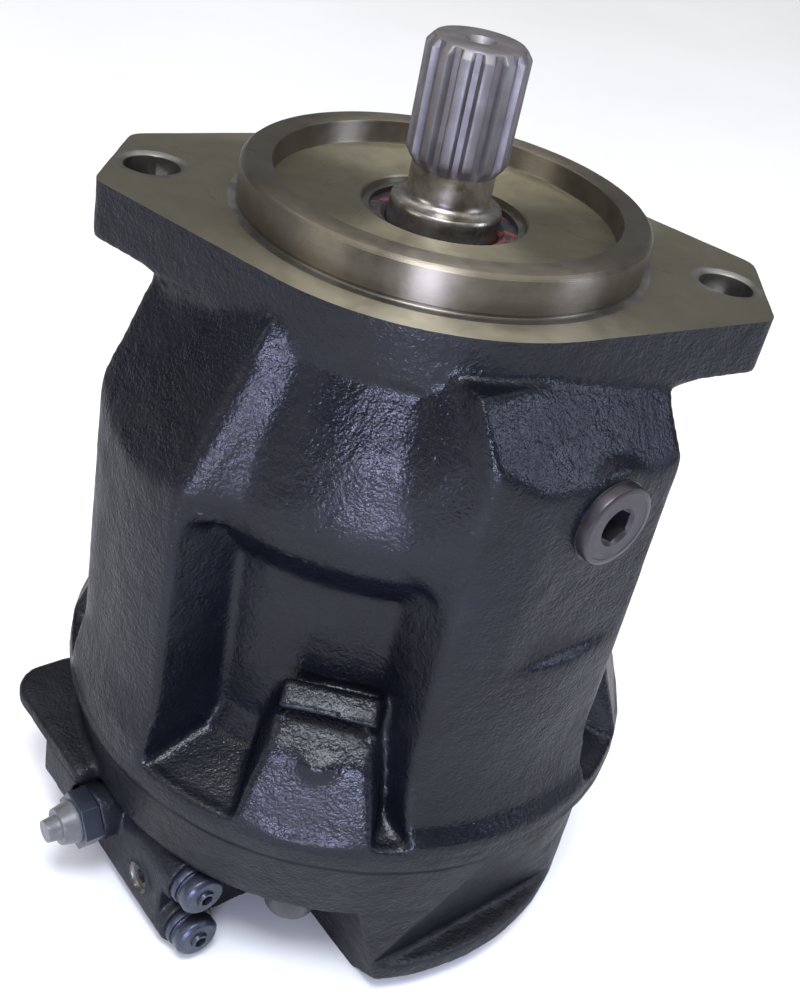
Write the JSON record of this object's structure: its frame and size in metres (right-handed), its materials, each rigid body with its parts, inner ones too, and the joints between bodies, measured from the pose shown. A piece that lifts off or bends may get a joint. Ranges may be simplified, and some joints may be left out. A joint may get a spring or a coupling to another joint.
{
  "type": "axial piston pump",
  "caption": "Variable swashplate axial piston pump with two-bolt pilot flange, splined shaft, cast housing, rear ports and pressure and flow controller.",
  "frame": {"origin": "centre of the mounting face, on the shaft axis", "axes": "+Z out of the pump along the shaft, +X towards one ear of the flange"},
  "size_m": [0.2227, 0.208, 0.307],
  "materials": {
    "cast_paint": "glossy black enamel over rough castings",
    "spline_steel": "machined steel with a light oil film",
    "black_rubber": "satin black rubber",
    "spring_steel": "oil-tempered wire",
    "bearing_steel": "ground and polished",
    "machined_iron": "machined grey iron",
    "sliding_bronze": "lapped bronze",
    "hard_steel": "ground steel",
    "black_screws": "black oxide",
    "plug_steel": "dark paint over steel",
    "adjuster_steel": "dark blue-grey coating",
    "clear_cap": "milky white cap"
  },
  "bodies": {
    "pump_casing": {"housing": "cast_paint", "port_plate": "cast_paint", "housing_seal_ring": "black_rubber", "shaft_seal": "black_rubber", "seal_retaining_ring": "spring_steel", "front_bearing_cup": "bearing_steel", "rear_bearing_cup": "bearing_steel", "swashplate": "machined_iron", "cradle_bearings": "sliding_bronze", "valve_plate": "sliding_bronze", "valve_plate_pin": "bearing_steel", "control_piston": "hard_steel", "control_piston_guide": "hard_steel", "bias_piston": "hard_steel", "bias_piston_guide": "hard_steel", "bias_spring": "spring_steel", "bias_spring_seat": "hard_steel", "port_plate_bolts": "black_screws", "case_drain_plugs": "plug_steel", "plug_sealing_rings": "black_rubber", "controller_body": "cast_paint", "controller_bolts": "black_screws", "controller_end_plugs": "plug_steel", "pressure_valve_spring": "spring_steel", "flow_valve_spring": "spring_steel", "adjusting_screws": "adjuster_steel", "adjuster_caps": "adjuster_steel", "sensing_port_fitting": "adjuster_steel", "sensing_port_cap": "clear_cap"},
    "rotating_group": {"drive_shaft": "spline_steel", "front_bearing_cone": "bearing_steel", "rear_bearing_cone": "bearing_steel", "cylinder_block": "machined_iron", "retaining_ball": "hard_steel", "retaining_plate": "hard_steel", "block_spring": "spring_steel", "block_spring_washers": "hard_steel", "pressure_pins": "bearing_steel", "piston_1": "hard_steel", "piston_2": "hard_steel", "piston_3": "hard_steel", "piston_4": "hard_steel", "piston_5": "hard_steel", "piston_6": "hard_steel", "piston_7": "hard_steel", "piston_8": "hard_steel", "piston_9": "hard_steel", "slipper_1": "sliding_bronze", "slipper_2": "sliding_bronze", "slipper_3": "sliding_bronze", "slipper_4": "sliding_bronze", "slipper_5": "sliding_bronze", "slipper_6": "sliding_bronze", "slipper_7": "sliding_bronze", "slipper_8": "sliding_bronze", "slipper_9": "sliding_bronze"},
    "front_rollers": {"front_bearing_rollers": "bearing_steel"},
    "rear_rollers": {"rear_bearing_rollers": "bearing_steel"},
    "pressure_valve_spool": {"pressure_spool": "hard_steel"},
    "flow_valve_spool": {"flow_spool": "hard_steel"}
  },
  "joints": [
    {"name": "shaft_spin", "type": "hinge", "parent": "pump_casing", "child": "rotating_group", "pos_m": [0, 0, 0], "axis": [0, 0, 1], "continuous": true},
    {"name": "front_rollers_spin", "type": "hinge", "parent": "pump_casing", "child": "front_rollers", "pos_m": [0, 0, -0.019], "axis": [0, 0, 1], "continuous": true},
    {"name": "rear_rollers_spin", "type": "hinge", "parent": "pump_casing", "child": "rear_rollers", "pos_m": [0, 0, -0.181], "axis": [0, 0, 1], "continuous": true},
    {"name": "pressure_spool_shift", "type": "slide", "parent": "pump_casing", "child": "pressure_valve_spool", "axis": [0.6691, -0.7431, 0], "range_m": [0, 0.003], "deforming": ["pressure_valve_spring"]},
    {"name": "flow_spool_shift", "type": "slide", "parent": "pump_casing", "child": "flow_valve_spool", "axis": [0.6691, -0.7431, 0], "range_m": [0, 0.003], "deforming": ["flow_valve_spring"]}
  ],
  "couplings": [
    {"joint": "front_rollers_spin", "follows": "shaft_spin", "ratio": 0.4346},
    {"joint": "rear_rollers_spin", "follows": "shaft_spin", "ratio": 0.4296}
  ]
}
